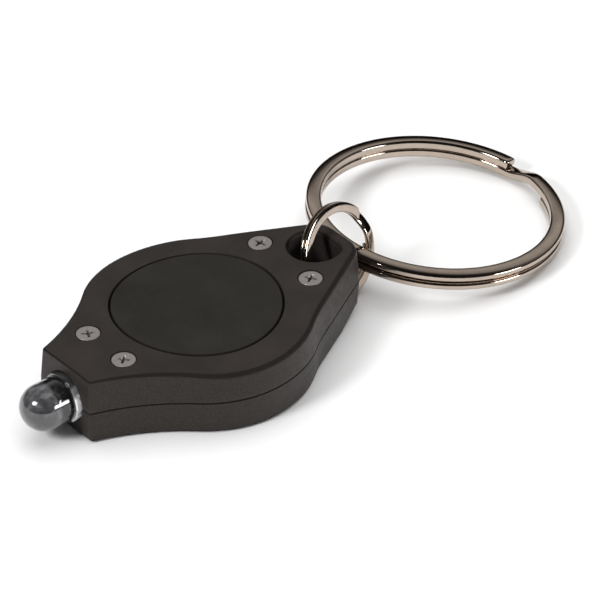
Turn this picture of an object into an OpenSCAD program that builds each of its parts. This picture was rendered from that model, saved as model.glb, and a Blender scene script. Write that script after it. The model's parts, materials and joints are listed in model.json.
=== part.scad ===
// Keychain flashlight: two screwed case halves around a pair of coin cells, a round press
// button over the cells, a 5 mm LED in the nose, and two split rings through the tail.
// +X is the beam direction and +Z the button side. The flat underside lies on Z = 0, and
// the origin is under the button's axis. All lengths are in millimetres.

/* [Case] */
// Height of the case on its centre line
case_h = 7.7; // [7.6:0.05:8.2]
// Half of the case's greatest width, beside the button
half_w = 12.75; // [12.7:0.05:13.2]
// Distance from the button's axis to the flat nose face
nose_x = 17.1; // [16.8:0.1:17.6]
// Distance from the button's axis to the flat tail face
tail_x = 19.55; // [19.5:0.05:20]
// Radius of the plan curve beside the button, on the nose side
side_front_r = 11; // [10.8:0.05:11.2]
// Radius of the plan curve beside the button, on the tail side
side_rear_r = 12.3; // [12:0.1:12.6]
// Radius of the hollow flanks that lead to the nose
nose_flank_r = 24.5; // [24:0.25:25]
// Radius of the slight hollow between each side and the tail
tail_flank_r = 18; // [16:0.5:20]
// Radius of the two tail corners
tail_corner_r = 2.9; // [2.7:0.05:3.1]
// Radius of the crowned top, across the width
crown_r = 95; // [80:5:110]

/* [Button] */
// Diameter of the button's visible disc
button_d = 17.6; // [17:0.1:17.8]
// Diameter of the well that the disc sits in
well_d = 18; // [17.9:0.05:18.2]
// Travel of the button
button_travel = 0.5; // [0.4:0.05:0.5]
// Thickness of the soft ring that returns the button
return_ring_h = 1.2; // [1.1:0.05:1.2]

/* [Coin cells] */
// Diameter of a cell
cell_d = 20; // [19.8:0.1:20]
// Thickness of a cell
cell_h = 1.6; // [1.55:0.05:1.6]

/* [LED] */
// Diameter of the lens
lens_d = 5; // [4.8:0.1:5.2]
// How far the lens's base ring stands in front of the nose face
base_proud = 0.45; // [0.3:0.05:0.6]
// Length of the straight barrel between the base ring and the dome
barrel_len = 2.25; // [2:0.05:2.5]

/* [Screws] */
// Diameter of a screw head
head_d = 2.5; // [2.3:0.1:2.5]
// Diameter of a screw shank
shank_d = 1.6; // [1.4:0.1:1.6]

/* [Small split ring] */
// Outer diameter
small_ring_d = 10.6; // [10.5:0.05:10.65]
// Lean of the ring's axis above the horizontal, in degrees
small_ring_lean = 18.5; // [17.5:0.5:18.5]

/* [Key ring] */
// Outer diameter
key_ring_d = 27.6; // [27.4:0.1:27.7]
// Tilt of the ring from flat, in degrees
key_ring_tilt = 6.66; // [6.6:0.02:6.7]

/* [Hidden] */
$fn = 96;

// Case: heights of the parting plane, the cell floor and the underside of the top wall
parting_z = 3.85;
floor_z = 1.5;
roof_z = 6.3;
pocket_r = cell_d / 2 + 0.25;
// Angles at which the round sides hand over to the hollow nose flank and the straight tail flank
front_turn = 43.5;
rear_turn = 38;
// Turn of the tail's straight sides
tail_turn = 29.5;
arc_steps = 12;

// Tail: the D-shaped hole for the small ring, and the relief under the tail
hole_r = 2.75;
hole_x = -15.6;
hole_flat_x = -17.5;
relief_x = -13;
relief_slope = 0.22;
notch_x = -17;
notch_half_w = 3.6;
notch_h = 2;

// Screws: places of the front and rear pairs, and heights
front_screw = [11.7, 2.95];
rear_screw = [-11.7, 4.14];
head_h = 0.8;
screw_tip_z = 1.3;
recess_len = 1.35;
recess_w = 0.36;
recess_depth = 0.45;

// Cells: the stack starts on the floor
stack_top_z = floor_z + 2 * cell_h;

// Button: flange under the top wall, and the nub that presses the upper lead
flange_d = 19.4;
flange_bottom_z = stack_top_z + return_ring_h;
flange_top_z = roof_z - 0.02;
dish_r = 7.6;
dish_roof_z = 6.85;
nub_d = 3;

// Leads: square wire, bent in the plane y = 0
wire_t = 0.5;
lead_pitch = 2.54;
lead_gap = button_travel - 0.05;
arch_z = stack_top_z + lead_gap + wire_t / 2;
nub_bottom_z = arch_z + wire_t / 2 + 0.05;

// LED: flange captured behind the nose wall
lens_flange_d = 6;
lens_flange_h = 1;
lens_back_x = 14.25;
base_ring_d = 5.4;
base_end_x = nose_x + base_proud;
dome_x = base_end_x + barrel_len;
nose_bore_d = 5.6;
cup_x = 18.3;
cup_d = 1.1;
cup_depth = 0.35;
chip_w = 0.32;
chip_h = 0.15;
bond_wire_d = 0.1;

// Small ring: section and place; it threads the tail wall
small_ring_w = 1.1;
small_ring_h = 1;
small_ring_round = 0.2;
small_ring_at = [-18.65, 0, 5.42];
small_ring_yaw = 11;
// Key ring: section and place; its low side rests just above Z = 0
key_ring_w = 1.6;
key_ring_h = 2;
key_ring_round = 0.3;
key_ring_heading = 160;
key_ring_z = 0.03 + (key_ring_d / 2) * sin(key_ring_tilt) + key_ring_h / 2 * cos(key_ring_tilt)
    - key_ring_round * (sin(key_ring_tilt) + cos(key_ring_tilt) - 1);
key_ring_at = [-33.79, -2.2, key_ring_z];

case_black = [0.13, 0.125, 0.12];
steel = [0.78, 0.77, 0.75];
nickel = [0.74, 0.71, 0.66];

function arc(centre, r, from, to) = [
    for (i = [0:arc_steps])
        let (a = from + (to - from) * i / arc_steps)
            centre + r * [cos(a), sin(a)]
];

// One side of the plan outline, from the nose face round to the tail face
function half_outline() = let (
    front_c = [0, half_w - side_front_r],
    rear_c = [0, half_w - side_rear_r],
    flank_c = front_c + (side_front_r + nose_flank_r) * [sin(front_turn), cos(front_turn)],
    nose_turn = asin((flank_c.x - nose_x) / nose_flank_r),
    tail_flank_c = rear_c + (side_rear_r + tail_flank_r) * [-sin(rear_turn), cos(rear_turn)],
    tail_side = tail_flank_c * [-sin(tail_turn), cos(tail_turn)] - tail_flank_r,
    corner_x = -tail_x + tail_corner_r,
    corner_y = (tail_side - tail_corner_r + corner_x * sin(tail_turn)) / cos(tail_turn)
) concat(
    arc(flank_c, nose_flank_r, 270 - nose_turn, 270 - front_turn),
    arc(front_c, side_front_r, 90 - front_turn, 90),
    arc(rear_c, side_rear_r, 90, 90 + rear_turn),
    arc(tail_flank_c, tail_flank_r, 270 + rear_turn, 270 + tail_turn),
    arc([corner_x, corner_y], tail_corner_r, 90 + tail_turn, 180)
);

module plan() {
    side = half_outline();
    last = len(side) - 1;
    polygon(concat(side, [for (i = [last:-1:0]) [side[i].x, -side[i].y]]));
}

// Everything under the crowned top surface
module under_crown() {
    translate([0, 0, case_h - crown_r])
        rotate([0, 90, 0])
            cylinder(r = crown_r, h = 4 * tail_x, center = true, $fn = 720);
}

function crown_z(y) = case_h - crown_r + sqrt(crown_r * crown_r - y * y);

module along_x(x, h, d) {
    translate([x, 0, parting_z])
        rotate([0, 90, 0])
            cylinder(d = d, h = h);
}

module ring_hole() {
    linear_extrude(3 * case_h, center = true)
        intersection() {
            translate([hole_x, 0])
                circle(r = hole_r);
            translate([hole_flat_x, -hole_r])
                square(2 * hole_r);
        }
}

// Room for the LED's flange and barrel, and for the leads that run back to the cells
module led_room() {
    along_x(lens_back_x - 0.05, lens_flange_h + 0.1, lens_flange_d + 0.1);
    along_x(lens_back_x, nose_x, nose_bore_d);
    translate([pocket_r - 0.5, -0.45, floor_z - wire_t])
        cube([lens_back_x - pocket_r + 0.5, 0.9, roof_z - floor_z]);
}

module each_screw_place() {
    for (side = [-1, 1]) {
        translate([front_screw.x, side * front_screw.y, crown_z(front_screw.y)])
            children();
        translate([rear_screw.x, side * rear_screw.y, crown_z(rear_screw.y)])
            children();
    }
}

module top_shell() {
    color(case_black)
    difference() {
        intersection() {
            translate([0, 0, parting_z])
                linear_extrude(case_h)
                    plan();
            under_crown();
        }
        cylinder(r = pocket_r, h = roof_z);
        cylinder(d = well_d, h = 2 * case_h);
        ring_hole();
        led_room();
        each_screw_place() {
            translate([0, 0, -head_h - 0.05])
                cylinder(d = head_d + 0.2, h = case_h);
            translate([0, 0, -case_h])
                cylinder(d = shank_d + 0.2, h = case_h);
        }
    }
}

module bottom_shell() {
    color(case_black)
    difference() {
        linear_extrude(parting_z)
            plan();
        translate([0, 0, floor_z])
            cylinder(r = pocket_r, h = case_h);
        // Groove for the lower lead
        translate([-4.2, -0.3, floor_z - wire_t])
            cube([pocket_r + 4.2, 0.6, case_h]);
        ring_hole();
        led_room();
        each_screw_place()
            translate([0, 0, screw_tip_z - 0.2 - case_h])
                cylinder(d = shank_d + 0.04, h = case_h);
        // Sloping underside of the tail
        translate([relief_x, 0, 0])
            rotate([90, 0, 0])
                linear_extrude(3 * half_w, center = true)
                    polygon([[0, 0], [0, -1], [-tail_x, -1], [-tail_x, relief_slope * tail_x]]);
        // Notch that the key ring lies in
        translate([-tail_x - 1, -notch_half_w, -1])
            cube([tail_x + 1 + notch_x, 2 * notch_half_w, notch_h + 1]);
    }
}

module button_cap() {
    color(case_black)
    intersection() {
        union() {
            difference() {
                union() {
                    translate([0, 0, flange_bottom_z])
                        cylinder(d = button_d, h = case_h);
                    translate([0, 0, flange_bottom_z])
                        cylinder(d = flange_d, h = flange_top_z - flange_bottom_z);
                }
                cylinder(r = dish_r, h = dish_roof_z);
            }
            translate([0, 0, nub_bottom_z])
                cylinder(d = nub_d, h = dish_roof_z - nub_bottom_z + 0.1);
        }
        under_crown();
    }
}

// Soft ring between the upper cell and the button's flange, open where the upper lead passes
module button_return_ring() {
    color([0.55, 0.56, 0.55])
    translate([0, 0, stack_top_z])
        difference() {
            cylinder(d = cell_d + 0.2, h = return_ring_h);
            translate([0, 0, -1])
                cylinder(d = button_d - 1.2, h = return_ring_h + 2);
            translate([0, -0.6, -1])
                cube([cell_d, 1.2, return_ring_h + 2]);
        }
}

// Flat-headed screw with a cross recess
module screw(place, side) {
    top = crown_z(place.y) - 0.05;
    color(steel)
    translate([place.x, side * place.y, top])
        difference() {
            union() {
                translate([0, 0, -head_h])
                    cylinder(d = head_d, h = head_h);
                translate([0, 0, screw_tip_z + 0.8 - top])
                    cylinder(d = shank_d, h = top - head_h - screw_tip_z - 0.8);
                translate([0, 0, screw_tip_z - top])
                    cylinder(d1 = shank_d / 3, d2 = shank_d, h = 0.8);
            }
            for (turn = [0, 90])
                rotate([0, 0, turn])
                    translate([-recess_len / 2, -recess_w / 2, -recess_depth])
                        cube([recess_len, recess_w, head_h]);
        }
}

module screw_front_left() { screw(front_screw, 1); }
module screw_front_right() { screw(front_screw, -1); }
module screw_rear_left() { screw(rear_screw, 1); }
module screw_rear_right() { screw(rear_screw, -1); }

// A strip of wire in the plane y = 0, along points [x, z]
module bent_wire(path) {
    last = len(path) - 1;
    translate([0, wire_t / 2, 0])
        rotate([90, 0, 0])
            linear_extrude(wire_t)
                polygon(concat(
                    [for (p = path) p + [0, wire_t / 2]],
                    [for (i = [last:-1:0]) path[i] - [0, wire_t / 2]]
                ));
}

// Lower lead: lies in the floor groove, rises to the LED, and ends in the reflector cup
module led_cathode_lead() {
    lead_z = parting_z - lead_pitch / 2;
    under_z = floor_z - wire_t / 2;
    color(steel)
    difference() {
        union() {
            bent_wire([[-4, under_z], [10.9, under_z], [13.4, lead_z], [16.4, lead_z]]);
            translate([16.3, -wire_t / 2, lead_z - wire_t / 2])
                cube([1.1, wire_t, parting_z + 0.25 - lead_z + wire_t / 2]);
            along_x(17.3, cup_x - 17.3, cup_d);
        }
        translate([cup_x - cup_depth, 0, parting_z])
            rotate([0, 90, 0])
                cylinder(d1 = 0.6, d2 = 0.96, h = cup_depth + 0.01);
    }
}

// Upper lead: runs back over the cells and arches up under the button's nub
module led_anode_lead() {
    lead_z = parting_z + lead_pitch / 2;
    color(steel)
    bent_wire([[-2.5, arch_z], [4.2, arch_z], [7.4, lead_z], [17.6, lead_z]]);
}

module led_chip() {
    color([0.85, 0.8, 0.45])
    translate([cup_x - cup_depth, -chip_w / 2, parting_z - chip_w / 2])
        cube([chip_h, chip_w, chip_w]);
}

// Half-loop of fine wire from the chip's face to the tip of the upper lead
module led_bond_wire() {
    start = [cup_x - cup_depth + chip_h, parting_z];
    finish = [17.6, parting_z + lead_pitch / 2];
    middle = (start + finish) / 2;
    span = norm(finish - start);
    slant = atan2(finish.y - start.y, finish.x - start.x);
    color([0.9, 0.75, 0.35])
    translate([middle.x, 0, middle.y])
        rotate([90, 0, 0])
            rotate([0, 0, slant - 180])
                rotate_extrude(angle = 180)
                    translate([span / 2, 0])
                        circle(d = bond_wire_d);
}

module led_lens() {
    color([0.8, 0.82, 0.84, 0.45])
    difference() {
        union() {
            along_x(lens_back_x, lens_flange_h, lens_flange_d);
            along_x(lens_back_x + lens_flange_h, base_end_x - lens_back_x - lens_flange_h, base_ring_d);
            along_x(base_end_x, barrel_len, lens_d);
            translate([dome_x, 0, parting_z])
                intersection() {
                    sphere(d = lens_d);
                    translate([0, -lens_d, -lens_d])
                        cube(2 * lens_d);
                }
        }
        led_cathode_lead();
        led_anode_lead();
        led_bond_wire();
        // The cup is filled with clear resin round the chip
        led_chip();
    }
}

// Coin cell pieces, each turned from a half-section [radius, height above the cell's base]
module turned(z, section) {
    translate([0, 0, z])
        rotate_extrude()
            polygon(section);
}

function cell_z(level) = floor_z + level * cell_h;

module cell_cap(level) {
    r = cell_d / 2;
    color(steel)
    turned(cell_z(level), [
        [0, 0], [r - 1.2, 0], [r - 1, 0.2], [r - 1, 0.5], [r - 0.65, 0.5], [r - 0.65, 1.2],
        [r - 0.85, 1.2], [r - 0.85, 0.7], [r - 1.2, 0.7], [r - 1.2, 0.2], [0, 0.2],
    ]);
}

module cell_gasket(level) {
    r = cell_d / 2;
    color([0.3, 0.3, 0.32])
    turned(cell_z(level), [
        [r - 1, 0.2], [r - 0.45, 0.2], [r - 0.45, 0.35], [r - 0.25, 0.35],
        [r - 0.25, cell_h - 0.25], [r - 1.1, cell_h - 0.25], [r - 1.1, 1.2],
        [r - 0.65, 1.2], [r - 0.65, 0.5], [r - 1, 0.5],
    ]);
}

module cell_disc(level, r, from, to) {
    translate([0, 0, cell_z(level) + from])
        cylinder(r = r, h = to - from);
}

module cell_lithium(level) {
    color([0.6, 0.6, 0.63])
    cell_disc(level, cell_d / 2 - 1.3, 0.2, 0.6);
}

module cell_separator(level) {
    color("white")
    cell_disc(level, cell_d / 2 - 1.25, 0.6, 0.68);
}

module cell_cathode(level) {
    color([0.12, 0.12, 0.12])
    cell_disc(level, cell_d / 2 - 1.4, 0.68, cell_h - 0.25);
}

module cell_can(level) {
    r = cell_d / 2;
    color(steel)
    turned(cell_z(level), [
        [0, cell_h - 0.25], [r - 0.25, cell_h - 0.25], [r - 0.25, 0.35], [r - 0.45, 0.35],
        [r - 0.45, 0.15], [r - 0.1, 0.15], [r, 0.3], [r, cell_h - 0.15], [r - 0.15, cell_h],
        [0, cell_h],
    ]);
}

module lower_cell_cap() { cell_cap(0); }
module lower_cell_gasket() { cell_gasket(0); }
module lower_cell_lithium() { cell_lithium(0); }
module lower_cell_separator() { cell_separator(0); }
module lower_cell_cathode() { cell_cathode(0); }
module lower_cell_can() { cell_can(0); }
module upper_cell_cap() { cell_cap(1); }
module upper_cell_gasket() { cell_gasket(1); }
module upper_cell_lithium() { cell_lithium(1); }
module upper_cell_separator() { cell_separator(1); }
module upper_cell_cathode() { cell_cathode(1); }
module upper_cell_can() { cell_can(1); }

// Half-section of two coils lying face to face, with rounded corners and a seam groove
function coil_section(mean_r, w, h, round) = let (seam = round / 2, q = round * 0.293) [
    for (side = [[1, 1], [-1, 1], [-1, -1], [1, -1]])
        let (
            corner = [mean_r + side.x * w / 2, side.y * h / 2],
            flat_end = corner - [side.x * round, 0],
            wall_end = corner - [0, side.y * round],
            seam_end = [corner.x, side.y * seam],
            seam_root = [corner.x - side.x * seam, 0]
        )
        each side.x * side.y > 0
            ? [seam_root, seam_end, wall_end, corner - q * side, flat_end]
            : [flat_end, corner - q * side, wall_end, seam_end]
];

// Split ring: the free ends of its upper and lower coils show as slits
module split_ring(d, w, h, round, upper_end, lower_end) {
    slit = 0.15;
    difference() {
        rotate_extrude()
            polygon(coil_section(d / 2 - w / 2, w, h, round));
        for (cut = [[upper_end, 0.01], [lower_end, -h - 0.01]])
            rotate([0, 0, cut[0]])
                translate([d / 2 - 1.5 * w, -slit / 2, cut[1]])
                    cube([2 * w, slit, h]);
    }
}

module small_split_ring() {
    color(nickel)
    translate(small_ring_at)
        rotate([small_ring_lean - 90, 0, small_ring_yaw])
            split_ring(small_ring_d, small_ring_w, small_ring_h, small_ring_round, 206, 166);
}

module key_ring() {
    color(nickel)
    translate(key_ring_at)
        rotate([0, key_ring_tilt, key_ring_heading])
            split_ring(key_ring_d, key_ring_w, key_ring_h, key_ring_round, 30, 4);
}

top_shell();
bottom_shell();
button_cap();
button_return_ring();
screw_front_left();
screw_front_right();
screw_rear_left();
screw_rear_right();
led_lens();
led_cathode_lead();
led_anode_lead();
led_chip();
led_bond_wire();
lower_cell_cap();
lower_cell_gasket();
lower_cell_lithium();
lower_cell_separator();
lower_cell_cathode();
lower_cell_can();
upper_cell_cap();
upper_cell_gasket();
upper_cell_lithium();
upper_cell_separator();
upper_cell_cathode();
upper_cell_can();
small_split_ring();
key_ring();
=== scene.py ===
"""Looks of the keychain flashlight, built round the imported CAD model. Lengths are in millimetres until a
mesh is finished, and metres in Blender."""
import json
import math

import bpy
import numpy as np
from mathutils import Matrix, Vector


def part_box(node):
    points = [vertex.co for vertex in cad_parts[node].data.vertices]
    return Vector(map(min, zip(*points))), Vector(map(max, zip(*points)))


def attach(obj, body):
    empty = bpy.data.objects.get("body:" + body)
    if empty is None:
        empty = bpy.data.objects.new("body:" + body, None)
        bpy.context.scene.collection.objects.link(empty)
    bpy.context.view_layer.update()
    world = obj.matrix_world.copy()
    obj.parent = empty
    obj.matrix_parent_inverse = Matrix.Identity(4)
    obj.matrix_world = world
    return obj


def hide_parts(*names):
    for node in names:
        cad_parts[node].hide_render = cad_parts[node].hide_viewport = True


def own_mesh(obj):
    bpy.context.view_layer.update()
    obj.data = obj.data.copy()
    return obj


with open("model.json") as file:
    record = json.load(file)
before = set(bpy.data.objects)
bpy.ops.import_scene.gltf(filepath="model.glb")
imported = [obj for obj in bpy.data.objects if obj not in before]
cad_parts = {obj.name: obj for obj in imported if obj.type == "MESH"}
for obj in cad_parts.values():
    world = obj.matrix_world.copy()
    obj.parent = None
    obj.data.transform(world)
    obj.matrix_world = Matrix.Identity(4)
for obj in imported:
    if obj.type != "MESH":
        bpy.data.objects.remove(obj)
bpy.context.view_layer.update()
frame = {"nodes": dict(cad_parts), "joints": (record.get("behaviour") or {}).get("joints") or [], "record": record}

MM = 0.001


def node_box(node):
    """Lowest and highest corner of a CAD node, in millimetres."""
    low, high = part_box(node)
    return np.array(low) / MM, np.array(high) / MM


# ---- Sizes taken from the frame ----
top_low, top_high = node_box("top_shell")
cap_low, cap_high = node_box("button_cap")
lens_low, lens_high = node_box("led_lens")
can_high = node_box("upper_cell_can")[1]
flex_low, flex_high = node_box("led_anode_lead")
soft_low, soft_high = node_box("button_return_ring")
mounts = {m["name"]: m for m in frame["record"]["mounts"]}
joints = {j["name"]: j for j in frame["joints"]}

NOSE_X = top_high[0]
TAIL_X = -top_low[0]
HALF_W = top_high[1]
CASE_H = top_high[2]
PARTING_Z = top_low[2]
CROWN_R = 95.0

# ---- Plan of the case, as in the CAD model ----
SIDE_FRONT_R = 11.0
SIDE_REAR_R = 12.3
NOSE_FLANK_R = 24.5
TAIL_FLANK_R = 18.0
TAIL_CORNER_R = 2.9
FRONT_TURN = 43.5
REAR_TURN = 38.0
TAIL_TURN = 29.5
HOLE_R = 2.75
HOLE_X = -15.6
HOLE_FLAT_X = -17.5
HOLE_CORNER_R = 1.1
FRONT_SCREW = (11.7, 2.95)
REAR_SCREW = (-11.7, 4.14)
POCKET_R = can_high[0] + 0.25
FLOOR_Z = 1.5
ROOF_Z = 6.3
WELL_R = 9.0
LED_R = 2.5
LED_BASE_R = 2.7
LED_FLANGE_R = 3.0
LEAD_W = 0.5

# ---- Moulding details that the plain CAD solids leave out ----
NOSE_FILLET = 0.3
SIDE_FILLET = 0.65
TAIL_FILLET = 0.8
BOTTOM_FILLET = 0.45
DRAFT = 0.25
SEAM_ROUND = 0.12
SEAM_GAP = 0.05
NOSE_CORNER = 0.3
WELL_RIM = 0.14
HOLE_RIM = 0.45
LED_RIM = 0.22
SCREW_RIM = 0.07
FILLET_ALONG = ((-18.5, TAIL_FILLET), (-12.0, SIDE_FILLET), (4.0, SIDE_FILLET), (14.0, 0.4),
                (16.5, NOSE_FILLET))


# ---- Mesh helpers ----
def crown_drop(y):
    """How far the crowned top lies below its middle line, at y."""
    return np.asarray(y) ** 2 / (2 * CROWN_R)


def make_object(name, points, faces):
    mesh = bpy.data.meshes.new(name)
    mesh.from_pydata([tuple(map(float, p)) for p in points], [], faces)
    mesh.validate()
    made = bpy.data.objects.new(name, mesh)
    bpy.context.scene.collection.objects.link(made)
    return made


def grid_faces(rows, columns):
    """Quads between closed rows of points, row by row."""
    faces = []
    for i in range(rows - 1):
        for j in range(columns):
            k = (j + 1) % columns
            faces.append((i * columns + j, i * columns + k, (i + 1) * columns + k, (i + 1) * columns + j))
    return faces


def loft(name, rings):
    """A closed solid through rings of equal count, from the lowest to the highest, counter-clockwise."""
    count = len(rings[0])
    points = [p for ring in rings for p in ring]
    faces = grid_faces(len(rings), count)
    for ring, base, flip in ((rings[0], 0, True), (rings[-1], (len(rings) - 1) * count, False)):
        centre = len(points)
        points.append(np.mean(ring, axis=0))
        for j in range(count):
            k = (j + 1) % count
            faces.append((base + k, base + j, centre) if flip else (base + j, base + k, centre))
    return make_object(name, points, faces)


def revolve(name, profile, steps=96, crown_from=None):
    """Turns a half-section of (radius, z), from the bottom of the axis round to its top.
    Above crown_from the section follows the crown of the case."""
    inner = profile[1:-1]
    angles = np.linspace(0, 2 * np.pi, steps, endpoint=False)
    points = [(r * math.cos(a), r * math.sin(a), z) for r, z in inner for a in angles]
    faces = grid_faces(len(inner), steps)
    bottom, top = len(points), len(points) + 1
    points += [(0, 0, profile[0][1]), (0, 0, profile[-1][1])]
    last = (len(inner) - 1) * steps
    for j in range(steps):
        k = (j + 1) % steps
        faces.append((k, j, bottom))
        faces.append((last + j, last + k, top))
    points = np.array(points)
    if crown_from is not None:
        low, high = crown_from
        weight = np.clip((points[:, 2] - low) / (high - low), 0, 1)
        points[:, 2] -= weight * crown_drop(points[:, 1])
    return make_object(name, points, faces)


def cylinder(name, radius, low_z, high_z, steps):
    return revolve(name, [(0, low_z), (radius, low_z), (radius, high_z), (0, high_z)], steps)


def round_corner(centre, radius, start, end, steps=5):
    """Points of a rounded corner in a half-section, angles in degrees."""
    angles = np.radians(np.linspace(start, end, steps + 1))
    return [(centre[0] + radius * math.cos(a), centre[1] + radius * math.sin(a)) for a in angles]


def flare(radius, rim, face_z, turn, steps):
    """Half-section of a bore's rounded rim, where it opens out into a face at face_z. The turn stays under
    90 degrees, so that the cutter leaves the face at an angle."""
    angles = np.radians(np.linspace(0, turn, steps + 1))
    return [(radius + rim * (1 - math.cos(a)), face_z - rim * (1 - math.sin(a))) for a in angles]


def at_height(outline, z):
    """The points of an outline, all at one height."""
    return np.column_stack([outline, np.full(len(outline), z)])


def block(name, low, high):
    x0, y0, z0 = low
    x1, y1, z1 = high
    outline = [(x0, y0), (x1, y0), (x1, y1), (x0, y1)]
    return loft(name, [at_height(outline, z) for z in (z0, z1)])


def place(made, matrix):
    made.data.transform(matrix)
    return made


def apply_modifiers(made):
    """Swaps the mesh for what the modifiers make of it."""
    bpy.context.view_layer.update()
    result = bpy.data.meshes.new_from_object(made.evaluated_get(bpy.context.evaluated_depsgraph_get()))
    made.modifiers.clear()
    old = made.data
    made.data = result
    bpy.data.meshes.remove(old)
    made.data.name = made.name


def cut(body, cutters):
    """Takes each cutter out of the body and removes it."""
    for cutter in cutters:
        step = body.modifiers.new("cut", "BOOLEAN")
        step.operation = "DIFFERENCE"
        step.solver = "EXACT"
        step.object = cutter
        apply_modifiers(body)
        bpy.data.objects.remove(cutter)


def finish_mesh(made, material, body, smooth_angle, weighted=False):
    """Scales to metres, shades, gives the material and lets the piece ride on its body."""
    made.data.transform(Matrix.Scale(MM, 4))
    made.data.materials.clear()
    made.data.materials.append(material)
    made.data.shade_smooth()
    made.data.set_sharp_from_angle(angle=math.radians(smooth_angle))
    if weighted:
        step = made.modifiers.new("weighted", "WEIGHTED_NORMAL")
        step.keep_sharp = True
        step.weight = 60
        apply_modifiers(made)
    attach(made, body)
    return made


# ---- Material helpers ----
def tone(colour, factor):
    """The colour made darker or lighter."""
    return tuple(c * factor for c in colour)


def fill_ramp(ramp, stops):
    """Sets a ramp's stops: (position, colour or grey level)."""
    elements = ramp.color_ramp.elements
    while len(elements) < len(stops):
        elements.new(0.5)
    for element, (position, colour) in zip(elements, stops):
        element.position = position
        element.color = (*colour, 1) if hasattr(colour, "__len__") else (colour, colour, colour, 1)


class Nodes:
    """Short calls for building one material's node tree."""

    def __init__(self, name):
        self.material = bpy.data.materials.new(name)
        self.material.use_nodes = True
        self.tree = self.material.node_tree
        self.shader = self.tree.nodes["Principled BSDF"]

    def add(self, kind, **values):
        node = self.tree.nodes.new(kind)
        for key, value in values.items():
            setattr(node, key, value)
        return node

    def link(self, source, target):
        self.tree.links.new(source, target)

    def coordinates(self, scale=(1, 1, 1), turn=(0, 0, 0)):
        """Object coordinates in millimetres, stretched by scale."""
        where = self.add("ShaderNodeTexCoord")
        mapping = self.add("ShaderNodeMapping")
        mapping.inputs["Scale"].default_value = [s / MM for s in scale]
        mapping.inputs["Rotation"].default_value = [math.radians(t) for t in turn]
        self.link(where.outputs["Object"], mapping.inputs["Vector"])
        return mapping.outputs["Vector"]

    def share(self, axis, length):
        """How far along an axis a point of the object is, as a share of a length in millimetres."""
        split = self.add("ShaderNodeSeparateXYZ")
        self.link(self.coordinates(), split.inputs["Vector"])
        return self.math("DIVIDE", split.outputs[axis], length)

    def noise(self, scale, detail=3.0, roughness=0.5, stretch=(1, 1, 1), turn=(0, 0, 0)):
        node = self.add("ShaderNodeTexNoise")
        node.inputs["Scale"].default_value = scale
        node.inputs["Detail"].default_value = detail
        node.inputs["Roughness"].default_value = roughness
        self.link(self.coordinates(stretch, turn), node.inputs["Vector"])
        return node.outputs["Fac"]

    def ramp(self, value, stops):
        node = self.add("ShaderNodeValToRGB")
        fill_ramp(node, stops)
        self.link(value, node.inputs["Fac"])
        return node.outputs["Color"]

    def spread(self, noise, low, high):
        """Colours or grey levels from low to high, over the range where most of a noise lies."""
        return self.ramp(noise, [(0.3, low), (0.7, high)])

    def math(self, operation, a, b):
        node = self.add("ShaderNodeMath", operation=operation)
        for socket, value in zip(node.inputs, (a, b)):
            if isinstance(value, (int, float)):
                socket.default_value = value
            else:
                self.link(value, socket)
        return node.outputs["Value"]

    def mix(self, factor, a, b):
        node = self.add("ShaderNodeMix", data_type="RGBA")
        self.link(factor, node.inputs["Factor"])
        for socket, value in ((node.inputs["A"], a), (node.inputs["B"], b)):
            if isinstance(value, tuple):
                socket.default_value = (*value, 1)
            else:
                self.link(value, socket)
        return node.outputs["Result"]

    def bump(self, height, depth_mm, strength, after=None):
        node = self.add("ShaderNodeBump")
        node.inputs["Distance"].default_value = depth_mm * MM
        node.inputs["Strength"].default_value = strength
        self.link(height, node.inputs["Height"])
        if after is not None:
            self.link(after, node.inputs["Normal"])
        return node.outputs["Normal"]

    def set(self, **values):
        for key, value in values.items():
            self.shader.inputs[key.replace("_", " ")].default_value = value


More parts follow.
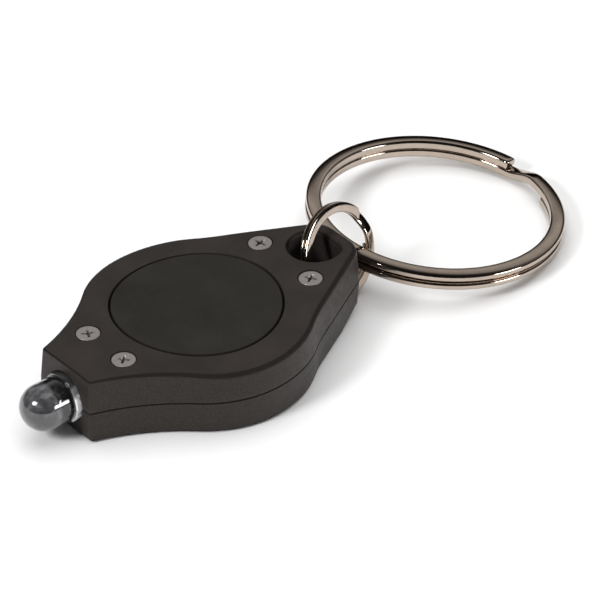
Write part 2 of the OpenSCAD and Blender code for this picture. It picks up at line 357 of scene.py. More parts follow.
def moulded_plastic(name, colour, roughness, side_light_and_scratches=True):
    """Black moulded plastic: spark-eroded grain, uneven sheen and painted shade on the rounded edges.
    With side light and scratches, the upright sides are speckled, painted lighter and marked by handling."""
    n = Nodes(name)
    grain = n.noise(7.0, detail=2.0, roughness=0.6)
    waves = n.noise(0.35)
    normal = n.bump(grain, depth_mm=0.012, strength=0.5, after=n.bump(waves, depth_mm=0.02, strength=0.25))
    shade = n.spread(n.noise(0.22, detail=4.0), tone(colour, 0.85), tone(colour, 1.22))
    sheen = n.spread(n.noise(1.3, detail=4.0), roughness - 0.05, roughness + 0.06)
    geometry = n.add("ShaderNodeNewGeometry")
    split = n.add("ShaderNodeSeparateXYZ")
    n.link(geometry.outputs["Normal"], split.inputs["Vector"])
    levelness = n.math("ABSOLUTE", split.outputs["Z"], 0.0)
    # painted shade: rounded edges between the walls and the top get a much darker colour
    painted_edge_shade = n.ramp(levelness, [(0.3, 0.0), (0.5, 1.0), (0.85, 1.0), (0.96, 0.0)])
    if side_light_and_scratches:
        upright = n.ramp(levelness, [(0.15, 1.0), (0.45, 0.0)])
        # speckle on the upright sides, on average lighter than the top: partly grit, partly painted light that
        # makes the sides read as more lit
        speckle_and_side_light = n.noise(9.0, detail=2.0, roughness=0.7)
        speckle_and_side_light = n.ramp(speckle_and_side_light, [(0.35, tone(colour, 0.65)), (0.65, tone(colour, 1.65))])
        shade = n.mix(upright, shade, speckle_and_side_light)
        lines = n.noise(1.0, detail=2.0, stretch=(0.5, 0.5, 9.0), turn=(0, 14, 0))
        lines = n.ramp(lines, [(0.66, 0.0), (0.72, 1.0)])
        specks = n.ramp(n.noise(3.2, detail=1.0), [(0.5, 0.0), (0.62, 1.0)])
        marks = n.math("MULTIPLY", n.math("MULTIPLY", lines, specks), upright)
        shade = n.mix(n.math("MULTIPLY", marks, 0.4), shade, tone(colour, 2.2))
    n.link(n.mix(painted_edge_shade, shade, tone(colour, 0.4)), n.shader.inputs["Base Color"])
    n.link(n.math("ADD", sheen, n.math("MULTIPLY", painted_edge_shade, 0.3)), n.shader.inputs["Roughness"])
    n.link(normal, n.shader.inputs["Normal"])
    n.set(IOR=1.5, Specular_IOR_Level=0.22, Specular_Tint=(1.0, 0.93, 0.88, 1))
    return n.material


def plated_metal(name, colour, roughness, scratch_scale=(1, 1, 12)):
    """Bright plated metal with fine drawn scratch marks and slightly cloudy plating."""
    n = Nodes(name)
    cloud = n.noise(0.8, detail=4.0)
    shade = n.spread(cloud, tone(colour, 0.9), colour)
    fine = n.noise(2.0, roughness=0.6, stretch=scratch_scale)
    rough = n.ramp(fine, [(0.35, roughness * 0.75), (0.75, roughness * 1.5)])
    n.link(shade, n.shader.inputs["Base Color"])
    n.link(rough, n.shader.inputs["Roughness"])
    n.link(n.bump(fine, depth_mm=0.002, strength=0.5), n.shader.inputs["Normal"])
    n.set(Metallic=1.0)
    return n.material


def dull_solid(name, colour, roughness, scale, depth_mm=0.01, metallic=0.0):
    """A matt surface with mottled colour and a fine tooth."""
    n = Nodes(name)
    fine = n.noise(scale, detail=4.0)
    sheen = n.spread(n.noise(scale * 0.4), roughness - 0.06, roughness + 0.06)
    n.link(n.spread(fine, tone(colour, 0.8), colour), n.shader.inputs["Base Color"])
    n.link(sheen, n.shader.inputs["Roughness"])
    n.link(n.bump(fine, depth_mm, strength=0.5), n.shader.inputs["Normal"])
    n.set(Metallic=metallic)
    return n.material


def screw_steel(name, colour, recess_shade):
    """Dull plated steel, with painted shade in the cross recess below the face of the head."""
    n = Nodes(name)
    fine = n.noise(5.0, detail=4.0)
    face = n.spread(fine, tone(colour, 0.8), colour)
    # painted shade: below the face of the head, in the cross recess, the colour turns dark
    sunk = n.ramp(n.share("Z", CASE_H), [(0.955, 1.0), (0.978, 0.0)])
    n.link(n.mix(sunk, face, recess_shade), n.shader.inputs["Base Color"])
    n.link(n.spread(n.noise(2.0), 0.44, 0.56), n.shader.inputs["Roughness"])
    n.link(n.bump(fine, depth_mm=0.008, strength=0.5), n.shader.inputs["Normal"])
    n.set(Metallic=0.7)
    return n.material


def clear_epoxy(name):
    """Cast epoxy with a dark grey tint that paints in the dark inside seen through it, and painted shade
    in the barrel, with flow marks and fine ripples that break up what is seen through it."""
    n = Nodes(name)
    flow = n.noise(0.9, detail=4.0, roughness=0.6, stretch=(2.2, 1, 1), turn=(0, 20, 30))
    streaks = n.noise(1.5, roughness=0.6, stretch=(0.4, 1, 1), turn=(0, 30, 15))
    # painted shade: the tint is dark grey so that the lens looks as dark as what is seen through it
    tint = n.spread(flow, (0.20, 0.20, 0.21), (0.48, 0.48, 0.51))
    tint = n.mix(n.ramp(streaks, [(0.52, 0.0), (0.62, 0.9)]), tint, (0.80, 0.80, 0.84))
    # painted shade: the barrel, behind the dome, gets a near-black colour
    painted_barrel_shade = n.ramp(n.share("X", lens_high[0]), [(0.862, 1.0), (0.878, 0.0)])
    n.link(n.mix(painted_barrel_shade, tint, (0.035, 0.035, 0.038)), n.shader.inputs["Base Color"])
    n.link(n.spread(n.noise(1.1), 0.03, 0.12), n.shader.inputs["Roughness"])
    ripples = n.bump(streaks, depth_mm=0.03, strength=0.5)
    n.link(n.bump(flow, depth_mm=0.05, strength=0.5, after=ripples), n.shader.inputs["Normal"])
    n.set(IOR=1.53, Transmission_Weight=0.85, Coat_Weight=0.8, Coat_Roughness=0.02)
    return n.material


def flange_epoxy(name):
    """Epoxy of the flange: glossy and partly clear, with a milky painted highlight on one side."""
    n = Nodes(name)
    cloud = n.noise(1.6)
    clear = n.spread(cloud, (0.08, 0.08, 0.085), (0.20, 0.20, 0.21))
    # painted highlight: a milky white patch on one side of the flange, where a bright reflection would fall
    highlight_side = n.ramp(n.share("Y", LED_BASE_R), [(0.56, 0.0), (0.66, 1.0)])
    patches = n.ramp(n.noise(0.8, detail=1.0), [(0.4, 0.35), (0.5, 1.0)])
    painted_highlight = n.math("MULTIPLY", highlight_side, patches)
    n.link(n.mix(painted_highlight, clear, (0.92, 0.92, 0.93)), n.shader.inputs["Base Color"])
    n.link(n.math("MULTIPLY", n.math("SUBTRACT", 1.0, painted_highlight), 0.85), n.shader.inputs["Transmission Weight"])
    n.link(n.spread(n.noise(4.0), 0.10, 0.22), n.shader.inputs["Roughness"])
    n.link(n.bump(cloud, depth_mm=0.03, strength=0.4), n.shader.inputs["Normal"])
    n.set(IOR=1.53, Coat_Weight=1.0, Coat_Roughness=0.03)
    return n.material


def make_materials():
    return {
        "case": moulded_plastic("case_plastic", (0.0240, 0.0203, 0.0187), roughness=0.46),
        "button": moulded_plastic("button_plastic", (0.0180, 0.0166, 0.0142), roughness=0.54,
                                  side_light_and_scratches=False),
        "rubber": dull_solid("return_rubber", (0.42, 0.43, 0.42), roughness=0.6, scale=3.0),
        # the last colour is the painted shade of the screws' cross recesses
        "screw": screw_steel("screw_steel", (0.43, 0.395, 0.385), recess_shade=(0.13, 0.12, 0.11)),
        "lens": clear_epoxy("lens_epoxy"),
        "flange": flange_epoxy("lens_flange"),
        "lead": plated_metal("lead_wire", (0.72, 0.72, 0.72), roughness=0.22),
        "die": dull_solid("led_die", (0.75, 0.70, 0.30), roughness=0.3, scale=9.0, depth_mm=0.002),
        "gold": plated_metal("gold_wire", (0.90, 0.70, 0.30), roughness=0.15),
        "cell": plated_metal("cell_steel", (0.72, 0.72, 0.71), roughness=0.28, scratch_scale=(1, 14, 1)),
        "gasket": dull_solid("cell_gasket", (0.10, 0.10, 0.11), roughness=0.5, scale=4.0),
        "lithium": dull_solid("cell_lithium", (0.50, 0.50, 0.53), roughness=0.5, scale=1.2, metallic=1.0),
        "separator": dull_solid("cell_separator", (0.85, 0.85, 0.83), roughness=0.85, scale=6.0,
                                depth_mm=0.02),
        "cathode": dull_solid("cell_cathode", (0.03, 0.03, 0.03), roughness=0.8, scale=8.0, depth_mm=0.02),
        "ring": plated_metal("ring_nickel", (0.50, 0.42, 0.355), roughness=0.075),
    }


# ---- Case shells ----
def arc(centre, radius, start, end, steps):
    """Points along an arc in plan, angles in degrees."""
    angles = np.radians(np.linspace(start, end, steps + 1))
    return np.column_stack([centre[0] + radius * np.cos(angles), centre[1] + radius * np.sin(angles)])


def heading(turn):
    """Unit vector turned that far from across the case towards the nose."""
    return np.array([math.sin(turn), math.cos(turn)])


def plan(grow):
    """The case's outline seen from above, counter-clockwise, moved outwards by grow."""
    front_c = np.array([0, HALF_W - SIDE_FRONT_R])
    rear_c = np.array([0, HALF_W - SIDE_REAR_R])
    front_turn, rear_turn = math.radians(FRONT_TURN), math.radians(REAR_TURN)
    reach = SIDE_FRONT_R + NOSE_FLANK_R
    flank_c = front_c + reach * heading(front_turn)
    flank_r = NOSE_FLANK_R - grow
    nose_x = NOSE_X + grow
    nose_turn = math.degrees(math.asin((flank_c[0] - nose_x) / flank_r))
    tail_turn = math.radians(TAIL_TURN)
    tail_flank_c = rear_c + (SIDE_REAR_R + TAIL_FLANK_R) * heading(-rear_turn)
    tail_side = tail_flank_c @ heading(-tail_turn) - TAIL_FLANK_R
    corner_x = -TAIL_X + TAIL_CORNER_R
    corner_y = (tail_side - TAIL_CORNER_R + corner_x * math.sin(tail_turn)) / math.cos(tail_turn)
    corner = flank_c - flank_r * heading(math.radians(nose_turn))
    turn_in = math.degrees(NOSE_CORNER / flank_r)
    flank = arc(flank_c, flank_r, 270 - nose_turn - turn_in, 270 - FRONT_TURN, 16)
    face_end = corner - np.array([0, NOSE_CORNER])
    nose_face = [np.array([nose_x, face_end[1] * k]) for k in (0, 0.35, 0.7)]
    t = np.linspace(0, 1, 7)[:, None]
    bend = (1 - t) ** 2 * face_end + 2 * t * (1 - t) * corner + t ** 2 * flank[0]
    side_front = arc(front_c, SIDE_FRONT_R + grow, 90 - FRONT_TURN, 90, 18)
    side_rear = arc(rear_c, SIDE_REAR_R + grow, 90, 90 + REAR_TURN, 14)
    hollow = arc(tail_flank_c, TAIL_FLANK_R - grow, 270 + REAR_TURN, 270 + TAIL_TURN, 5)
    tail_corner = arc((corner_x, corner_y), TAIL_CORNER_R + grow, 90 + TAIL_TURN, 180, 12)
    straight = hollow[-1] + np.linspace(0, 1, 7)[1:-1, None] * (tail_corner[0] - hollow[-1])
    tail_face = [np.array([tail_corner[-1][0], tail_corner[-1][1] * k]) for k in (0.5, 0)]
    half = np.vstack([nose_face, bend, flank[1:], side_front[1:], side_rear[1:], hollow[1:], straight,
                      tail_corner, tail_face])
    other = half[1:-1][::-1] * np.array([1, -1])
    return np.vstack([half, other])


def top_fillet(x):
    """Rounding of the top edge: crisp at the nose, softer along the sides and softest round the tail."""
    stations, radii = zip(*FILLET_ALONG)
    return np.interp(x, stations, radii)


def fillet_ring(turn):
    """One line of the rounded top edge; turn goes from the side wall (0) to the top face (90 degrees)."""
    wall = plan(-DRAFT)
    ahead, behind = np.roll(wall, -1, axis=0), np.roll(wall, 1, axis=0)
    run = (ahead - behind) / np.linalg.norm(ahead - behind, axis=1)[:, None]
    inward = np.column_stack([-run[:, 1], run[:, 0]])
    radius = top_fillet(wall[:, 0])
    line = wall + inward * (radius * (1 - math.cos(turn)))[:, None]
    drop = radius * (1 - math.sin(turn))
    return np.column_stack([line, CASE_H - crown_drop(line[:, 1]) - drop])


def cap_rings(edge, steps):
    """Rings that close the crowned top, shrinking towards the origin."""
    rings = []
    for k in np.linspace(1, 0.04, steps + 1)[1:]:
        ring = edge.copy()
        ring[:, :2] *= k
        ring[:, 2] = CASE_H - crown_drop(ring[:, 1])
        rings.append(ring)
    return rings


def case_blank_top():
    """The upper half of the case without its openings."""
    bottom = PARTING_Z + SEAM_GAP / 2
    rings = []
    for a in np.radians(np.linspace(-90, 0, 4)):
        outline = plan(-SEAM_ROUND + SEAM_ROUND * math.cos(a))
        rings.append(at_height(outline, bottom + SEAM_ROUND + SEAM_ROUND * math.sin(a)))
    foot, shoulder = rings[-1], fillet_ring(0)
    rings += [foot + k * (shoulder - foot) for k in (0.25, 0.5, 0.75)]
    rings += [fillet_ring(a) for a in np.radians(np.linspace(0, 90, 9))]
    rings += cap_rings(rings[-1], 14)
    return loft("top_shell_skin", rings)


def case_blank_bottom():
    """The lower half of the case without its openings."""
    top = PARTING_Z - SEAM_GAP / 2
    rings = []
    for a in np.radians(np.linspace(-90, 0, 8)):
        outline = plan(-DRAFT - BOTTOM_FILLET * (1 - math.cos(a)))
        rings.append(at_height(outline, BOTTOM_FILLET + BOTTOM_FILLET * math.sin(a)))
    for k in (0.33, 0.67):
        z = BOTTOM_FILLET + k * (top - SEAM_ROUND - BOTTOM_FILLET)
        rings.append(at_height(plan(-DRAFT * (1 - k)), z))
    for a in np.radians(np.linspace(0, 90, 4)):
        outline = plan(-SEAM_ROUND * (1 - math.cos(a)))
        rings.append(at_height(outline, top - SEAM_ROUND * (1 - math.sin(a))))
    return loft("bottom_shell_skin", rings)


def hole_outline(grow):
    """D-shaped outline of the tail hole, with rounded corners at the flat."""
    radius = HOLE_R + grow
    corner_r = HOLE_CORNER_R + grow
    corner_x = HOLE_FLAT_X + HOLE_CORNER_R - HOLE_X
    corner_y = math.sqrt((HOLE_R - HOLE_CORNER_R) ** 2 - corner_x ** 2)
    turn = math.degrees(math.atan2(corner_y, corner_x))
    main = arc((0, 0), radius, -turn, turn, 36)
    upper = arc((corner_x, corner_y), corner_r, turn, 180, 8)[1:]
    lower = arc((corner_x, -corner_y), corner_r, 180, 360 - turn, 8)[:-1]
    return np.vstack([main, upper, lower]) + np.array([HOLE_X, 0])


def hole_cutter(low_z, high_z, rim=0.0, face_z=None):
    """A prism through the tail. Where a face is given, the hole opens out into it with a rounded rim."""
    rings = [(0, low_z)]
    if face_z is not None:
        rings += flare(0, rim, face_z, turn=82, steps=6)
    rings.append((rim, high_z))
    return loft("hole_cutter", [at_height(hole_outline(grow), z) for grow, z in rings])


def flared_bore(radius, rim, low_z, top_z, crown_from=None, steps=96):
    """Cutter for a round hole whose upper rim is rounded."""
    opening = flare(radius, rim, top_z, turn=82, steps=5)
    profile = [(0, low_z), (radius, low_z), *opening, (opening[-1][0], top_z + 1), (0, top_z + 1)]
    return revolve("bore_cutter", profile, steps, crown_from)


def along_x(made, x):
    """Lays a turned piece along the beam, its base at x."""
    return place(made, Matrix.Translation((x, 0, PARTING_Z)) @ Matrix.Rotation(math.radians(90), 4, "Y"))


def led_cutters():
    """The flange's groove, the bore out through the nose and the channel for the leads."""
    groove_r, groove_length, bore_r = 3.05, 1.1, 2.8
    channel_half_w, channel_depth = 0.45, 0.5
    mouth = NOSE_X - lens_low[0]
    groove = cylinder("groove", groove_r, 0, groove_length, 64)
    opening = flare(bore_r, LED_RIM, mouth, turn=80, steps=4)
    bore = revolve("bore", [(0, 0), (bore_r, 0), *opening, (opening[-1][0], mouth + 2), (0, mouth + 2)], 64)
    channel = block("channel", (POCKET_R - 0.5, -channel_half_w, FLOOR_Z - channel_depth),
                    (lens_low[0] + 0.1, channel_half_w, ROOF_Z - channel_depth))
    return [along_x(groove, lens_low[0] - 0.05), along_x(bore, lens_low[0]), channel]


def screw_places():
    """Name and place of each screw."""
    for name, (x, y) in (("front", FRONT_SCREW), ("rear", REAR_SCREW)):
        yield f"screw_{name}_left", x, y
        yield f"screw_{name}_right", x, -y


def screw_cutters(top_side):
    """Head seats and clearance holes for the top shell, or thread holes for the bottom shell."""
    seat_r, seat_depth, clearance_r = 1.33, 0.85, 0.9
    grip_r, grip_from = 0.82, 1.1
    cutters = []
    for _, x, y in screw_places():
        face_z = CASE_H - float(crown_drop(y))
        if top_side:
            seat = flared_bore(seat_r, SCREW_RIM, face_z - seat_depth, face_z + 0.01, steps=40)
            cutters.append(place(seat, Matrix.Translation((x, y, 0))))
            shaft = cylinder("shaft", clearance_r, 0, face_z - 0.5, 32)
        else:
            shaft = cylinder("shaft", grip_r, grip_from, CASE_H, 32)
        cutters.append(place(shaft, Matrix.Translation((x, y, 0))))
    return cutters


def make_top_shell(material):
    """The upper half, with the button's well and the seats of the screws."""
    skin = case_blank_top()
    pocket = cylinder("pocket", POCKET_R, 0, ROOF_Z, 96)
    well = flared_bore(WELL_R, WELL_RIM, ROOF_Z - 0.5, CASE_H, (PARTING_Z + 3.0, CASE_H - 0.4), 144)
    hole = hole_cutter(0, CASE_H + 1, HOLE_RIM, CASE_H - 0.02)
    cut(skin, [pocket, well, hole, *led_cutters(), *screw_cutters(True)])
    finish_mesh(skin, material, "case", 32, weighted=True)
    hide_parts("top_shell")


def tail_relief():
    """Sloping underside of the tail, and the notch that the key ring lies in."""
    slope_from, slope, length = -13.0, 0.22, TAIL_X
    notch_to, notch_half_w, notch_top = -17.0, 3.6, 2.0
    slope_to = slope_from - length
    wedge = [(slope_to, -1), (slope_from, -1), (slope_from, 0), (slope_to, slope * length)]
    ramp = loft("ramp", [np.array([(x, y, z) for x, z in wedge]) for y in (2 * HALF_W, -2 * HALF_W)])
    notch = block("notch", (-TAIL_X - 1, -notch_half_w, -1), (notch_to, notch_half_w, notch_top))
    return [ramp, notch]


def make_bottom_shell(material):
    """The lower half, with a groove in its floor for the LED's cathode lead."""
    groove_from, groove_half_w, groove_depth = -4.2, 0.3, 0.5
    skin = case_blank_bottom()
    pocket = cylinder("pocket", POCKET_R, FLOOR_Z, CASE_H, 96)
    groove = block("groove", (groove_from, -groove_half_w, FLOOR_Z - groove_depth),
                   (POCKET_R, groove_half_w, CASE_H))
    hole = hole_cutter(-1, CASE_H)
    cut(skin, [pocket, groove, hole, *led_cutters(), *screw_cutters(False), *tail_relief()])
    finish_mesh(skin, material, "case", 32, weighted=True)
    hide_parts("bottom_shell")


# ---- Button ----
def make_button(material):
    """An upturned dish with a flange that stays under the case and a nub that presses the LED's lead."""
    radius, edge = 8.84, 0.12
    nub_r, nub_bevel, nub_z = 1.5, 0.2, cap_low[2]
    dish_r, dish_z = 7.6, 6.85
    flange_low, flange_high, flange_r, bevel = soft_high[2], ROOF_Z - 0.02, cap_high[0], 0.05
    profile = [(0, nub_z), (nub_r - nub_bevel, nub_z), (nub_r, nub_z + nub_bevel), (nub_r, dish_z),
               (dish_r, dish_z), (dish_r, flange_low), (flange_r - bevel, flange_low),
               (flange_r, flange_low + bevel), (flange_r, flange_high - bevel),
               (flange_r - bevel, flange_high), (radius, flange_high)]
    profile += round_corner((radius - edge, cap_high[2] - edge), edge, 0, 90)
    profile += [(radius * k, cap_high[2]) for k in (0.93, 0.86, 0.75, 0.6, 0.45, 0.3, 0.15, 0)]
    button = revolve("button_disc", profile, 144, (flange_high, cap_high[2] - 0.6))
    finish_mesh(button, material, "button", 32)
    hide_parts("button_cap")


def make_return_ring(material):
    """Soft C-shaped ring that the button's flange presses."""
    low, high = soft_low[2] + 0.01, soft_high[2] - 0.01
    outer, inner, edge, half_gap = can_high[0] + 0.05, 8.25, 0.2, 0.6
    section = []
    for cx, cz, start in ((outer - edge, high - edge, 0), (inner + edge, high - edge, 90),
                          (inner + edge, low + edge, 180), (outer - edge, low + edge, 270)):
        section += round_corner((cx, cz), edge, start, start + 90, 4)
    gap = math.degrees(half_gap / outer)
    angles = np.radians(np.linspace(gap, 360 - gap, 121))
    points = [(r * math.cos(a), r * math.sin(a), z) for a in angles for r, z in section]
    count = len(section)
    faces = [tuple(reversed(f)) for f in grid_faces(len(angles), count)]
    faces.append(tuple(range(count)))
    faces.append(tuple(reversed(range((len(angles) - 1) * count, len(angles) * count))))
    ring = make_object("return_ring", points, faces)
    finish_mesh(ring, material, "case", 50)
    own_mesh(ring)
    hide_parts("button_return_ring")


# ---- Screws ----
def threaded_shank(radius, root, low, high, pitch):
    """A screw thread as one closed surface, narrowing to a quarter at the bottom."""
    tip, tip_length, sharpness = 0.25, 0.9, 1.6
    steps, around = int((high - low) / pitch * 10), 28
    rings = []
    for i in range(steps + 1):
        z = low + (high - low) * i / steps
        taper = min(1.0, tip + (z - low) / tip_length)
        ring = []
        for j in range(around):
            phase = (z / pitch - j / around) % 1.0
            depth = abs(2 * phase - 1)
            r = (root + (radius - root) * max(0.0, 1 - sharpness * depth)) * taper
            ring.append((r * math.cos(2 * math.pi * j / around), r * math.sin(2 * math.pi * j / around), z))
        rings.append(np.array(ring))
    return loft("shank", rings)


def cross_cutter(turn):
    """The driver's point: two tapered wings across each other, and a tapered core."""
    parts = []
    wing_half, wing_w, depth = 0.74, 0.27, 0.5
    core_r, core_tip_r, above = 0.34, 0.12, 0.6
    for quarter in (0, 90):
        rings = []
        for k, z in ((0.2, -depth), (1.0, 0.02), (1.0, above)):
            half, w = wing_half * k, wing_w * (0.55 + 0.45 * k) / 2
            rings.append(np.array([(-half, -w, z), (half, -w, z), (half, w, z), (-half, w, z)]))
        wing = loft("wing", rings)
        parts.append(place(wing, Matrix.Rotation(math.radians(turn + quarter), 4, "Z")))
    core = [(0, -depth - 0.05), (core_tip_r, -depth - 0.05), (core_r, 0.0), (core_r, above), (0, above)]
    return parts + [revolve("core", core, 20)]


def make_screws(material):
    """Four self-tapping screws, each with its cross recess turned another way."""
    head_r, head_h, edge, bevel = 1.25, 0.8, 0.07, 0.05
    thread_r, root_r, pitch = 0.8, 0.62, 0.6
    cross_turns = (38, 62, 30, 12)
    for (name, x, y), turn in zip(screw_places(), cross_turns):
        low, high = node_box(name)
        top = high[2]
        profile = [(0, -head_h), (head_r - bevel, -head_h), (head_r, -head_h + bevel)]
        profile += round_corner((head_r - edge, -edge), edge, 0, 90, 4)
        profile += [(head_r * k, 0.0) for k in (0.8, 0.6)] + [(0, 0.0)]
        head = revolve(name + "_head", profile, 48)
        cut(head, cross_cutter(turn))
        place(head, Matrix.Translation((x, y, top)))
        finish_mesh(head, material, "case", 30)
        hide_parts(name)
        shank = threaded_shank(thread_r, root_r, low[2], top - head_h + 0.02, pitch)
        shank.name = name + "_thread"
        place(shank, Matrix.Translation((x, y, 0)))
        finish_mesh(shank, material, "case", 40)


# ---- LED ----
def make_lens(lens_material, flange_material):
    """The moulded dome and barrel, and the flange and base ring that the case grips."""
    steps = 96
    length = lens_high[0] - lens_low[0]
    dome = length - LED_R
    flange_h, bevel, corner = 1.0, 0.1, 0.14
    base_end = NOSE_X + 0.45 - lens_low[0]
    hidden_r = LED_R - 0.04
    profile = [(0, 0), (LED_R - 0.12, 0), (hidden_r, 0.08), (hidden_r, base_end), (LED_R, base_end + 0.06)]
    profile += [(LED_R, base_end + (dome - base_end) * k) for k in (0.33, 0.66)]
    profile += round_corner((0, dome), LED_R, 0, 84, 22) + [(0, length)]
    lens = revolve("led_dome", profile, steps)
    along_x(lens, lens_low[0])
    finish_mesh(lens, lens_material, "case", 40)
    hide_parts("led_lens")
    inner_r = LED_R - 0.03
    section = [(inner_r, 0.05), (LED_FLANGE_R - 0.08, 0.02), (LED_FLANGE_R, bevel),
               (LED_FLANGE_R, flange_h - bevel), (LED_FLANGE_R - bevel, flange_h),
               (LED_BASE_R, flange_h + 0.05)]
    section += round_corner((LED_BASE_R - corner, base_end - corner), corner, 0, 90, 5)
    section += [(inner_r, base_end)]
    angles = np.linspace(0, 2 * np.pi, steps, endpoint=False)
    points = [(r * math.cos(a), r * math.sin(a), z) for r, z in section for a in angles]
    faces = grid_faces(len(section), steps)
    last = (len(section) - 1) * steps
    faces += [(last + j, last + (j + 1) % steps, (j + 1) % steps, j) for j in range(steps)]
    flange = make_object("led_flange", points, faces)
    along_x(flange, lens_low[0])
    finish_mesh(flange, flange_material, "case", 40)
    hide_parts("led_lens")


def lead_piece(name, path, material):
    """Square wire with eased edges, along points (x, z) in the plane y = 0."""
    half, edge = LEAD_W / 2, 0.06
    section = []
    for sy, sz, start in ((1, 1, 0), (-1, 1, 90), (-1, -1, 180), (1, -1, 270)):
        section += round_corner((sy * (half - edge), sz * (half - edge)), edge, start, start + 90, 2)
    path = np.array(path, float)
    rings = []
    for i, (x, z) in enumerate(path):
        ahead = path[min(i + 1, len(path) - 1)] - path[max(i - 1, 0)]
        slant = math.atan2(ahead[1], ahead[0])
        rings.append(np.array([(x - w * math.sin(slant), v, z + w * math.cos(slant)) for v, w in section]))
    wire = loft(name, rings)
    finish_mesh(wire, material, "case", 40)
    return wire


def make_anode_lead(material):
    """The upper lead in two lengths: the part held in the LED, and the part that the button bends."""
    arch_z, root_z = flex_high[2] - LEAD_W / 2, flex_low[2] + LEAD_W / 2
    hold_x, rise_x, arch_x = 9.0, 7.4, 4.2
    held_path = [(hold_x + 0.01, root_z), (12, root_z), (flex_high[0], root_z)]
    held = lead_piece("anode_lead_held", held_path, material)
    eased = [0.5 - 0.5 * math.cos(math.pi * k) for k in np.linspace(0, 1, 9)]
    rise = [(arch_x + (rise_x - arch_x) * k / 8, arch_z + (root_z - arch_z) * ease)
            for k, ease in enumerate(eased)]
    flex_path = [(flex_low[0], arch_z), (1, arch_z), *rise, (hold_x, root_z)]
    flex = lead_piece("anode_lead_flex", flex_path, material)
    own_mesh(flex)
    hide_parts("led_anode_lead")
    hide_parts("led_anode_lead")


# ---- Split rings ----
def wire_section(width, height, edge):
    """Flattened wire: corners a little finer on the inside, and faces that thin out towards the outside."""
    inner = edge * 0.9
    corners = [(1, 1, 0, edge), (-1, 1, 90, inner), (-1, -1, 180, inner), (1, -1, 270, edge)]
    outline = []
    for across, up, start, radius in corners:
        centre = (across * (width / 2 - radius), up * (height / 2 - radius))
        outline += round_corner(centre, radius, start, start + 90, 5)
        if across == up:
            step = -across * (width - edge - inner) / 7
            outline += [(outline[-1][0] + step * k, up * height / 2) for k in range(1, 7)]
    thinning, flat_to = 0.30, -0.15 * width
    past_flat = [max(0.0, (r - flat_to) / (width / 2 - flat_to)) for r, _ in outline]
    return [(r, z * (1 - thinning * k ** 2)) for (r, z), k in zip(outline, past_flat)]


def split_ring(name, material, body, centre, axis, across, size, ends, level_from, slant=0.0):
    """Two turns of flat wire, one over the other, that change level between their two free ends.
    size is the outer radius, the wire's width, the height of one turn and the radius of its outer corners.
    ends are the angles of the upper and the lower free end, in degrees from the direction across, and the
    change of level starts level_from degrees past the lower one. slant skews the upper free end."""
    outer, width, turn_h, edge = size
    axis = np.array(axis) / np.linalg.norm(axis)
    u = np.array(across) - np.dot(across, axis) * axis
    u /= np.linalg.norm(u)
    v = np.cross(axis, u)
    section = wire_section(width, turn_h, edge)
    upper_end, lower_end = ends
    clearance, step, slant_over, turn_gap = 0.6, 1.5, 20, 0.012
    start, stop = upper_end + clearance, lower_end + 720 - clearance
    drop_from, drop_to = lower_end + 360 + level_from, upper_end + 360 + 2 * clearance
    taper = ((0.0, 0.62), (0.35, 0.86), (0.9, 0.97))
    stations = [(start + turn, shrink) for turn, shrink in taper]
    stations += [(angle, 1.0) for angle in np.arange(start + 1.8, stop - 1.8, step)]
    stations += [(stop - turn, shrink) for turn, shrink in reversed(taper)]
    mean_r = outer - width / 2
    rings = []
    for angle, shrink in stations:
        t = np.clip((angle - drop_from) / (drop_to - drop_from), 0, 1)
        level = (0.5 - t * t * (3 - 2 * t)) * (turn_h + turn_gap)
        lean = slant * max(0.0, 1 - (angle - start) / slant_over)
        ring = []
        for r, z in section:
            a = math.radians(angle + lean * (r / width + 0.5))
            out = math.cos(a) * u + math.sin(a) * v
            ring.append(centre + (mean_r + r * shrink) * out + (level + z * shrink) * axis)
        rings.append(np.array(ring))
    ring = loft(name, rings[::-1])
    finish_mesh(ring, material, body, 40)
    return ring


def make_rings(material):
    """The small ring stands in the tail hole, leaning a little, and the key ring hangs through it."""
    small_size, small_ends = (5.27, 1.05, 0.465, 0.15), (206, 166)
    key_size, key_ends = (13.79, 1.6, 0.99, 0.30), (190, 164)
    lean_joint = joints["small_ring_lean"]
    across = np.array(lean_joint["axis"])
    level = np.array([-across[1], across[0], 0.0])
    lean = math.radians(18.5)
    axis = math.cos(lean) * level + math.sin(lean) * np.array([0, 0, 1.0])
    small = split_ring("small_ring_coils", material, "small_ring", np.array(lean_joint["pos_m"]) / MM, axis,
                       across, small_size, small_ends, level_from=12, slant=9.0)
    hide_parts("small_split_ring")
    loop = mounts["key_loop"]
    big = split_ring("key_ring_coils", material, "key_ring", np.array(loop["pos_m"]) / MM,
                     np.array(loop["axis"]), np.array([1.0, 0, 0]), key_size, key_ends, level_from=9)
    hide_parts("key_ring")


# ---- CAD nodes that stay ----
def dress_cad_nodes(materials):
    """Gives the inner parts, which keep their CAD meshes, their materials."""
    finishes = {"led_cathode_lead": "lead", "led_chip": "die", "led_bond_wire": "gold"}
    for level in ("lower", "upper"):
        for part, finish in (("cap", "cell"), ("gasket", "gasket"), ("lithium", "lithium"),
                             ("separator", "separator"), ("cathode", "cathode"), ("can", "cell")):
            finishes[f"{level}_cell_{part}"] = finish
    for node, finish in finishes.items():
        mesh = frame["nodes"][node].data
        mesh.materials.clear()
        mesh.materials.append(materials[finish])


# ---- Stage, light and camera ----
def make_stage():
    """A pale floor, in metres, just below the object."""
    half, below = 1.5, 0.03 * MM
    corners = [(-half, -half, 0), (half, -half, 0), (half, half, 0), (-half, half, 0)]
    floor = make_object("floor", corners, [(0, 1, 2, 3)])
    floor.location.z = -below
    n = Nodes("floor_paper")
    n.link(n.spread(n.noise(0.05, detail=2.0), 0.86, 0.88), n.shader.inputs["Base Color"])
    n.set(Roughness=0.9, Specular_IOR_Level=0.2)
    floor.data.materials.append(n.material)


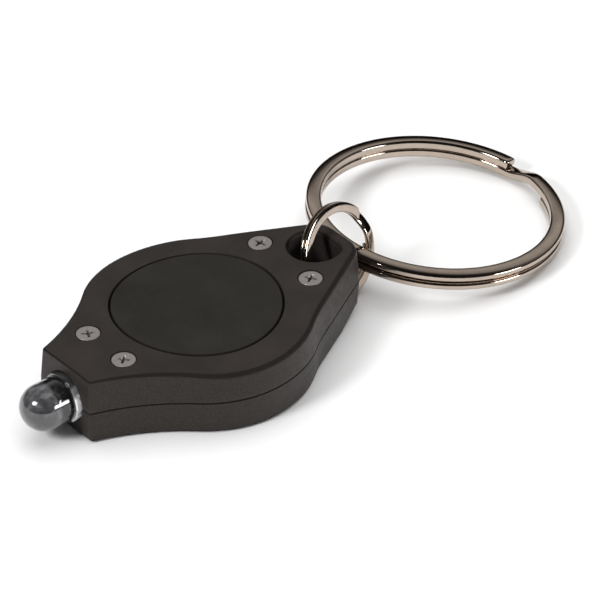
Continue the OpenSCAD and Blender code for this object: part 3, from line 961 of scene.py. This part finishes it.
def area_light(name, place_at, size, power, mirrored=True):
    """A soft box aimed at the origin. If not mirrored, it isn't seen in reflections."""
    data = bpy.data.lights.new(name, "AREA")
    data.shape = "RECTANGLE"
    data.size, data.size_y = size
    data.energy = power
    light = bpy.data.objects.new(name, data)
    light.location = place_at
    light.rotation_euler = (-Vector(place_at)).to_track_quat("-Z", "Y").to_euler()
    light.visible_glossy = mirrored
    bpy.context.scene.collection.objects.link(light)


def make_lights():
    """A dim room with a pale backdrop beyond the object, and three soft boxes. The room's brightness is one
    ramp along the camera's view times one ramp with height."""
    view_turn = math.radians(-141.4)
    along_view = ((0.0, 0.025), (0.5, 0.035), (0.75, 0.20), (0.92, 0.58), (0.95, 0.06), (1.0, 0.02))
    with_height = ((0.0, 0.05), (0.30, 0.10), (0.46, 1.0), (0.70, 1.0), (0.88, 0.30))
    warmth = (1.0, 0.97, 0.94)
    world = bpy.data.worlds.new("studio")
    world.use_nodes = True
    tree = world.node_tree
    background = tree.nodes["Background"]
    where = tree.nodes.new("ShaderNodeTexCoord")
    turned = tree.nodes.new("ShaderNodeMapping")
    turned.inputs["Rotation"].default_value = (0, 0, view_turn)
    split = tree.nodes.new("ShaderNodeSeparateXYZ")
    span = tree.nodes.new("ShaderNodeMapRange")
    span.inputs["From Min"].default_value = -1.0
    span.inputs["From Max"].default_value = 1.0
    backdrop = tree.nodes.new("ShaderNodeValToRGB")
    fill_ramp(backdrop, [(position, tone(warmth, level)) for position, level in along_view])
    height = tree.nodes.new("ShaderNodeValToRGB")
    fill_ramp(height, with_height)
    tree.links.new(where.outputs["Generated"], turned.inputs["Vector"])
    tree.links.new(turned.outputs["Vector"], split.inputs["Vector"])
    tree.links.new(split.outputs["Y"], span.inputs["Value"])
    tree.links.new(span.outputs["Result"], backdrop.inputs["Fac"])
    tree.links.new(backdrop.outputs["Color"], background.inputs["Color"])
    tree.links.new(split.outputs["Z"], height.inputs["Fac"])
    tree.links.new(height.outputs["Color"], background.inputs["Strength"])
    bpy.context.scene.world = world
    area_light("overhead", (-0.08, -0.06, 0.60), (0.80, 0.80), 4.4, mirrored=False)
    area_light("nose_side", (0.42, -0.02, 0.34), (0.13, 0.13), 1.7)
    area_light("tail_side", (-0.26, 0.44, 0.12), (0.20, 0.12), 1.2)


def make_camera():
    """The camera looks down on the button from one side of the nose, through a long lens, and is moved to
    the right so that the key ring is in view too."""
    azimuth, elevation, roll = (math.radians(a) for a in (141.391, 35.6715, -0.9318))
    lens, sensor, distance = 365.67, 36.0, 0.623
    target = Vector((0, 0, CASE_H * MM))
    to_right, to_up = 10.5976 * MM, 0.18927 * MM
    back = Vector((math.sin(azimuth) * math.cos(elevation), -math.cos(azimuth) * math.cos(elevation),
                   math.sin(elevation)))
    right = (-back).cross(Vector((0, 0, 1))).normalized()
    up = right.cross(-back)
    right_r = right * math.cos(roll) + up * math.sin(roll)
    up_r = up * math.cos(roll) - right * math.sin(roll)
    data = bpy.data.cameras.new("camera")
    data.sensor_width = sensor
    data.lens = lens
    data.clip_start = 0.01
    camera = bpy.data.objects.new("camera", data)
    spot = target + back * distance + right_r * to_right + up_r * to_up
    turn = Matrix((right_r, up_r, back)).transposed().to_4x4()
    camera.matrix_world = Matrix.Translation(spot) @ turn
    bpy.context.scene.collection.objects.link(camera)
    bpy.context.scene.camera = camera


make_camera()
materials = make_materials()
make_top_shell(materials["case"])
make_bottom_shell(materials["case"])
make_button(materials["button"])
make_return_ring(materials["rubber"])
make_screws(materials["screw"])
make_lens(materials["lens"], materials["flange"])
make_anode_lead(materials["lead"])
make_rings(materials["ring"])
dress_cad_nodes(materials)
make_stage()
make_lights()
bpy.context.scene.view_settings.view_transform = "Standard"
